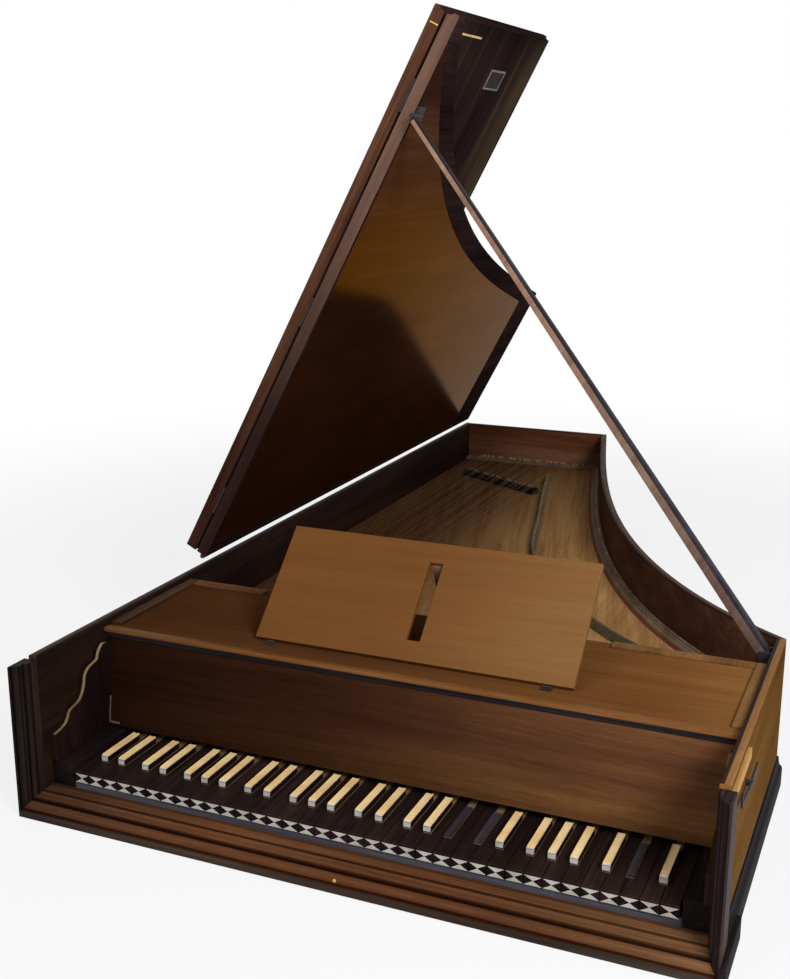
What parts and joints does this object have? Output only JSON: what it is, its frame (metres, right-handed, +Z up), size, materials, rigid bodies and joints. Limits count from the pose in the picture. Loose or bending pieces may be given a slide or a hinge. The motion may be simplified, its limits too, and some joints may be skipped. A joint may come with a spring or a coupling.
{
  "type": "harpsichord",
  "caption": "Single-keyboard harpsichord case with bentside, folding music desk, propped lid with folded flap, keys, jacks, soundboard and strings.",
  "frame": {"origin": "middle of the case's length and width, on its flat underside", "axes": "+Z up, +Y from the keyboard towards the tail, +X to the player's right"},
  "size_m": [0.9702, 1.74, 1.0721],
  "materials": {
    "walnut": "satin, straight grain",
    "dark_walnut": "satin, stained dark",
    "frame_wood": "satin, moulded",
    "golden_walnut": "semi-gloss, golden brown",
    "inside_lid": "satin, brown panel with dark borders",
    "pine": "matt, plain softwood",
    "soundboard": "matt, varnished softwood",
    "ebony": "satin, black-brown key tops",
    "iron": "worn dark iron",
    "steel": "dull grey",
    "brass": "drawn wire"
  },
  "bodies": {
    "case": {"case_bottom": "pine", "spine": "walnut", "cheek": "walnut", "bentside": "walnut", "tail": "walnut", "base_moulding": "dark_walnut", "front_post_left": "dark_walnut", "front_post_right": "dark_walnut", "sill": "frame_wood", "nameboard": "walnut", "key_block_left": "ebony", "key_block_right": "ebony", "scroll_left": "walnut", "scroll_right": "walnut", "cover_board": "golden_walnut", "desk_hinge_left": "iron", "desk_hinge_right": "iron", "keyframe": "pine", "wrestplank": "pine", "nut": "golden_walnut", "belly_rail": "pine", "soundboard_liner": "pine", "soundboard": "soundboard", "hitchpin_rail": "dark_walnut", "bridge": "golden_walnut", "bass_bridge": "ebony", "strings": "brass", "jack_rail": "dark_walnut", "register": "pine", "prop_bracket": "iron", "hook_plate": "iron", "cheek_strip": "golden_walnut"},
    "lid": {"main_lid": "inside_lid", "lid_hinge_front": "iron", "lid_hinge_rear": "iron", "flap_hinge_left": "steel", "flap_hinge_middle": "steel", "flap_hinge_right": "steel", "prop_peg": "iron"},
    "flap": {"lid_flap": "walnut", "lock_plate": "steel"},
    "stick": {"prop_stick": "walnut"},
    "desk": {"music_desk": "golden_walnut"},
    "strut": {"desk_strut": "golden_walnut"},
    "hook": {"cheek_hook": "iron"},
    "key_c": {"key_c": "ebony"},
    "jack_c": {"jack_c": "pine"},
    "key_c_sharp": {"key_c_sharp": "ebony"},
    "jack_c_sharp": {"jack_c_sharp": "pine"},
    "key_d": {"key_d": "ebony"},
    "jack_d": {"jack_d": "pine"},
    "key_d_sharp": {"key_d_sharp": "ebony"},
    "jack_d_sharp": {"jack_d_sharp": "pine"},
    "key_e": {"key_e": "ebony"},
    "jack_e": {"jack_e": "pine"},
    "keys_bass": {"keys_bass": "ebony"},
    "jacks_bass": {"jacks_bass": "pine"},
    "keys_treble": {"keys_treble": "ebony"},
    "jacks_treble": {"jacks_treble": "pine"}
  },
  "joints": [
    {"name": "lid_hinge", "type": "hinge", "parent": "case", "child": "lid", "pos_m": [-0.468, -0.3575, 0.2315], "axis": [0, 1, 0], "range_deg": [0, 62.1]},
    {"name": "flap_hinge", "type": "hinge", "parent": "lid", "child": "flap", "pos_m": [-0.25988, -0.385, 0.65086], "axis": [0.4679, 0, 0.8838], "range_deg": [0, 180]},
    {"name": "prop_stick_fold", "type": "hinge", "parent": "case", "child": "stick", "pos_m": [0.441, -0.4005, 0.21], "axis": [0, -1, 0], "range_deg": [0, 56.5]},
    {"name": "desk_fold", "type": "hinge", "parent": "case", "child": "desk", "pos_m": [0.006, -0.6295, 0.2133], "axis": [-1, 0, 0], "range_deg": [0, 44.5]},
    {"name": "desk_strut_fold", "type": "hinge", "parent": "case", "child": "strut", "pos_m": [0.006, -0.48453, 0.2165], "axis": [1, 0, 0], "range_deg": [0, 67.8]},
    {"name": "cheek_hook_swivel", "type": "hinge", "parent": "case", "child": "hook", "pos_m": [0.4685, -0.7075, 0.17], "axis": [-1, 0, 0], "range_deg": [-60, 78]},
    {"name": "key_c_dip", "type": "hinge", "parent": "case", "child": "key_c", "pos_m": [-0.01525, -0.6395, 0.042], "axis": [1, 0, 0], "range_deg": [0, 2.2], "stiffness_Nm_per_rad": 1, "springref_deg": -2.29},
    {"name": "jack_c_rise", "type": "slide", "parent": "case", "child": "jack_c", "axis": [0, 0, 1], "range_m": [0, 0.0064]},
    {"name": "key_c_sharp_dip", "type": "hinge", "parent": "case", "child": "key_c_sharp", "pos_m": [-0.0025, -0.6395, 0.042], "axis": [1, 0, 0], "range_deg": [0, 2.2], "stiffness_Nm_per_rad": 1, "springref_deg": -2.29},
    {"name": "jack_c_sharp_rise", "type": "slide", "parent": "case", "child": "jack_c_sharp", "axis": [0, 0, 1], "range_m": [0, 0.0064]},
    {"name": "key_d_dip", "type": "hinge", "parent": "case", "child": "key_d", "pos_m": [0.01175, -0.6395, 0.042], "axis": [1, 0, 0], "range_deg": [0, 2.2], "stiffness_Nm_per_rad": 1, "springref_deg": -2.29},
    {"name": "jack_d_rise", "type": "slide", "parent": "case", "child": "jack_d", "axis": [0, 0, 1], "range_m": [0, 0.0064]},
    {"name": "key_d_sharp_dip", "type": "hinge", "parent": "case", "child": "key_d_sharp", "pos_m": [0.026, -0.6395, 0.042], "axis": [1, 0, 0], "range_deg": [0, 2.2], "stiffness_Nm_per_rad": 1, "springref_deg": -2.29},
    {"name": "jack_d_sharp_rise", "type": "slide", "parent": "case", "child": "jack_d_sharp", "axis": [0, 0, 1], "range_m": [0, 0.0064]},
    {"name": "key_e_dip", "type": "hinge", "parent": "case", "child": "key_e", "pos_m": [0.0385, -0.6395, 0.042], "axis": [1, 0, 0], "range_deg": [0, 2.2], "stiffness_Nm_per_rad": 1, "springref_deg": -2.29},
    {"name": "jack_e_rise", "type": "slide", "parent": "case", "child": "jack_e", "axis": [0, 0, 1], "range_m": [0, 0.0064]},
    {"name": "keys_bass_dip", "type": "hinge", "parent": "case", "child": "keys_bass", "pos_m": [-0.2184, -0.6395, 0.042], "axis": [1, 0, 0], "range_deg": [0, 2.2], "stiffness_Nm_per_rad": 29, "springref_deg": -2.29},
    {"name": "jacks_bass_rise", "type": "slide", "parent": "case", "child": "jacks_bass", "axis": [0, 0, 1], "range_m": [0, 0.0064]},
    {"name": "keys_treble_dip", "type": "hinge", "parent": "case", "child": "keys_treble", "pos_m": [0.2298, -0.6395, 0.042], "axis": [1, 0, 0], "range_deg": [0, 2.2], "stiffness_Nm_per_rad": 27, "springref_deg": -2.29},
    {"name": "jacks_treble_rise", "type": "slide", "parent": "case", "child": "jacks_treble", "axis": [0, 0, 1], "range_m": [0, 0.0064]}
  ],
  "couplings": [
    {"joint": "prop_stick_fold", "follows": "lid_hinge", "ratio": 0.90981},
    {"joint": "desk_fold", "follows": "lid_hinge", "ratio": 0.71658},
    {"joint": "desk_strut_fold", "follows": "lid_hinge", "ratio": 1.0918},
    {"joint": "jack_c_rise", "follows": "key_c_dip", "m_per_rad": 0.165},
    {"joint": "jack_c_sharp_rise", "follows": "key_c_sharp_dip", "m_per_rad": 0.165},
    {"joint": "jack_d_rise", "follows": "key_d_dip", "m_per_rad": 0.165},
    {"joint": "jack_d_sharp_rise", "follows": "key_d_sharp_dip", "m_per_rad": 0.165},
    {"joint": "jack_e_rise", "follows": "key_e_dip", "m_per_rad": 0.165},
    {"joint": "jacks_bass_rise", "follows": "keys_bass_dip", "m_per_rad": 0.165},
    {"joint": "jacks_treble_rise", "follows": "keys_treble_dip", "m_per_rad": 0.165}
  ]
}
